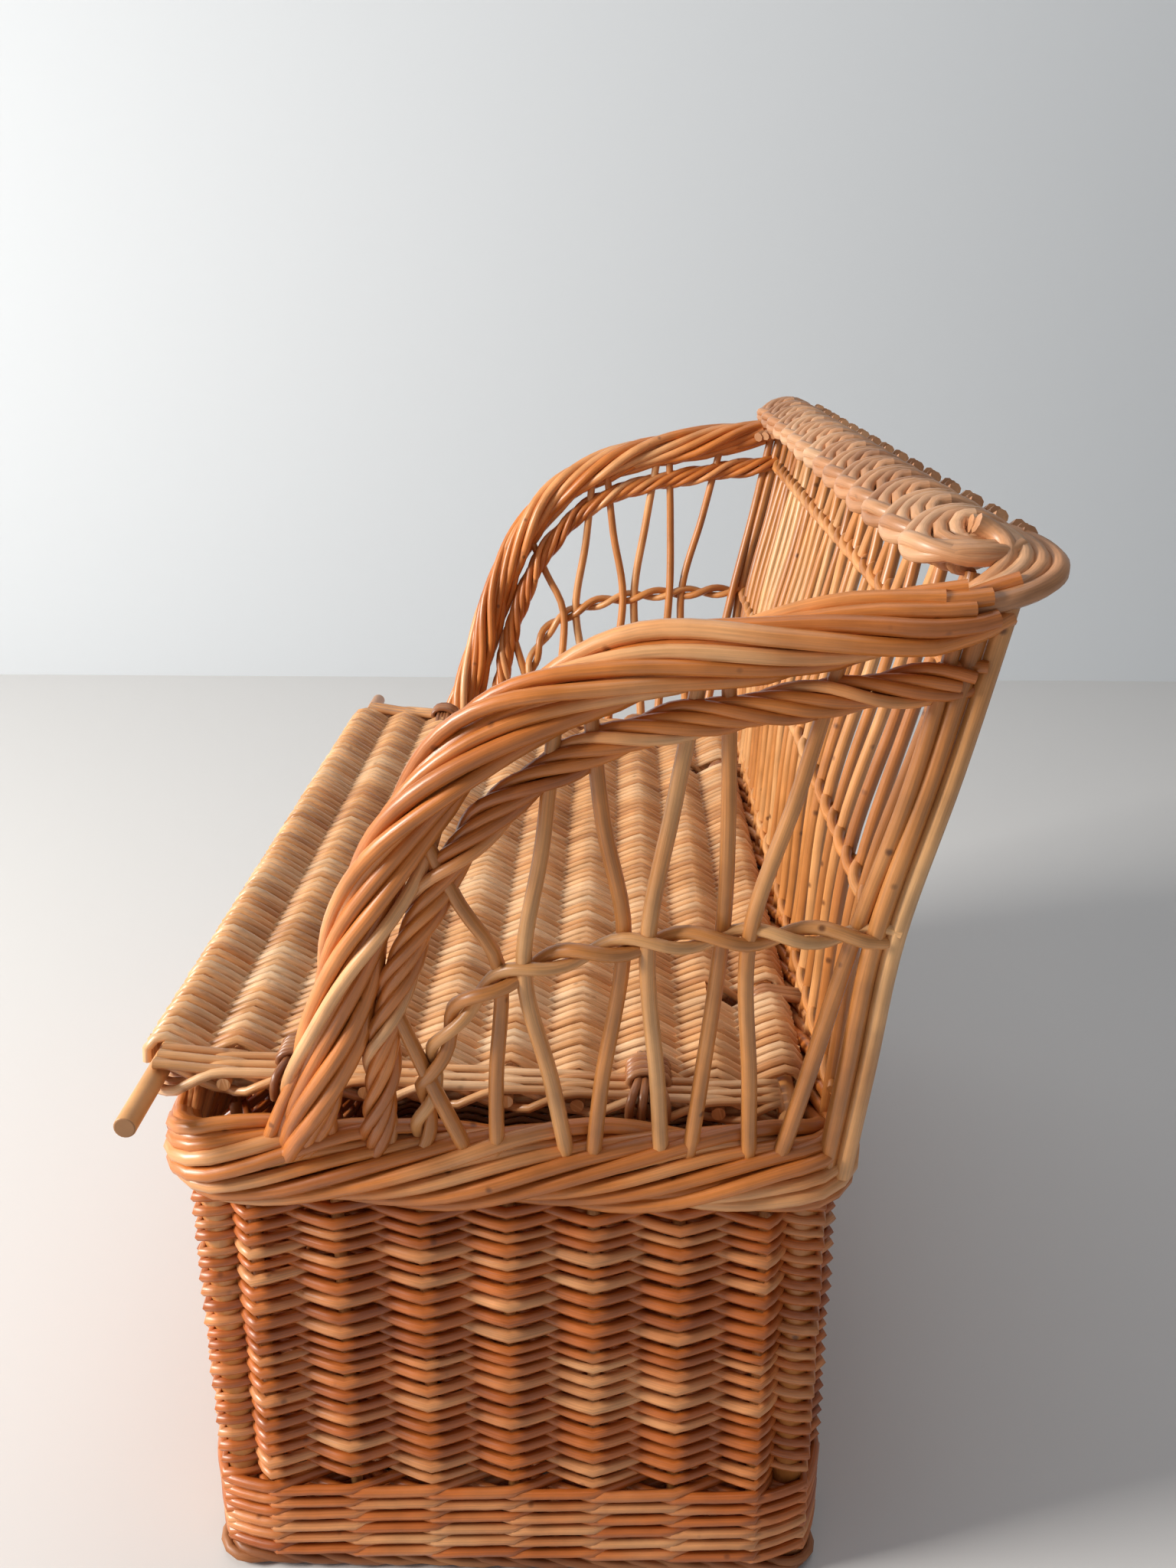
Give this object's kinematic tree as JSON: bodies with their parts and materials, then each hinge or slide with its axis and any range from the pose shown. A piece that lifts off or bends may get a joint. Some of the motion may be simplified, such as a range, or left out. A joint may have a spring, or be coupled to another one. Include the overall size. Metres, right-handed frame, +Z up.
{
  "type": "wicker toy chest",
  "caption": "Woven willow toy chest that is also a small bench, with arms, a leaning back and a hinged seat lid.",
  "frame": {"origin": "middle of the woven box, on the floor under the foot border", "axes": "+X to the right end of the chest seen from its front, +Y to its back, +Z up"},
  "size_m": [0.798, 0.4303, 0.604],
  "materials": {
    "wall_willow": "satin varnish",
    "base_willow": "satin varnish",
    "lid_willow": "satin varnish",
    "border_willow": "satin varnish",
    "rod_willow": "satin varnish",
    "cane": "satin varnish"
  },
  "bodies": {
    "chest": {"back_stakes": "rod_willow", "back_weave": "wall_willow", "backrest_foot_band": "rod_willow", "backrest_mid_band": "rod_willow", "backrest_rods": "rod_willow", "backrest_upper_band": "rod_willow", "base_sticks": "base_willow", "base_weave": "base_willow", "border_back": "border_willow", "border_front": "border_willow", "border_left": "border_willow", "border_right": "border_willow", "corner_posts": "rod_willow", "corner_weave": "wall_willow", "foot_border": "base_willow", "front_stakes": "rod_willow", "front_weave": "wall_willow", "hinge_loops": "cane", "left_arm_mid_band": "rod_willow", "left_arm_rail": "rod_willow", "left_arm_stakes": "rod_willow", "left_arm_under_band": "rod_willow", "left_back_post": "rod_willow", "left_stakes": "rod_willow", "left_weave": "wall_willow", "plait": "border_willow", "right_arm_mid_band": "rod_willow", "right_arm_rail": "rod_willow", "right_arm_stakes": "rod_willow", "right_arm_under_band": "rod_willow", "right_back_post": "rod_willow", "right_stakes": "rod_willow", "right_weave": "wall_willow"},
    "lid": {"lid_back_stick": "lid_willow", "lid_end_band_left": "lid_willow", "lid_end_band_right": "lid_willow", "lid_front_stick": "lid_willow", "lid_ribs": "lid_willow", "lid_ties_left": "cane", "lid_ties_right": "cane", "lid_weave": "lid_willow"}
  },
  "joints": [
    {"name": "lid_hinge", "type": "hinge", "parent": "chest", "child": "lid", "pos_m": [0, 0.146, 0.292], "axis": [-1, 0, 0], "range_deg": [0, 88]}
  ]
}
